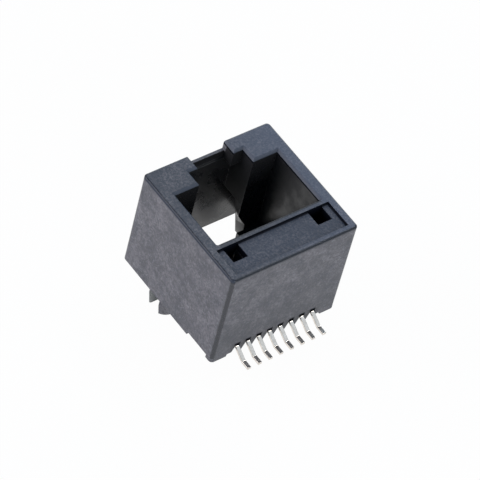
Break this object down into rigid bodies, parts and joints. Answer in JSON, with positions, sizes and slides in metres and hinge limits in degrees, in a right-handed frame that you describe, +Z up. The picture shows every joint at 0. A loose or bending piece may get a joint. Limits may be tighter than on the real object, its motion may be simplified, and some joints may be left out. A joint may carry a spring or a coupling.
{
  "type": "upright surface-mount modular jack",
  "caption": "Upright open-top modular jack for a circuit board, with a latch slot, sprung contacts, bent solder leads along one side and split pegs underneath.",
  "frame": {"origin": "on the board plane, half way between the two split pegs", "axes": "+X along the row of contacts, +Y from the lead side to the latch side, +Z up out of the board towards the plug opening"},
  "size_m": [0.0146, 0.0167, 0.0152],
  "materials": {
    "housing_plastic": "black glass-filled plastic with a fine spark-eroded grain",
    "carrier_plastic": "smooth black plastic",
    "contact_metal": "bright tin plate"
  },
  "bodies": {
    "root": {"housing": "housing_plastic", "contact_carrier": "carrier_plastic", "contact_1": "contact_metal", "contact_2": "contact_metal", "contact_3": "contact_metal", "contact_4": "contact_metal", "contact_5": "contact_metal", "contact_6": "contact_metal", "contact_7": "contact_metal", "contact_8": "contact_metal"}
  },
  "joints": []
}
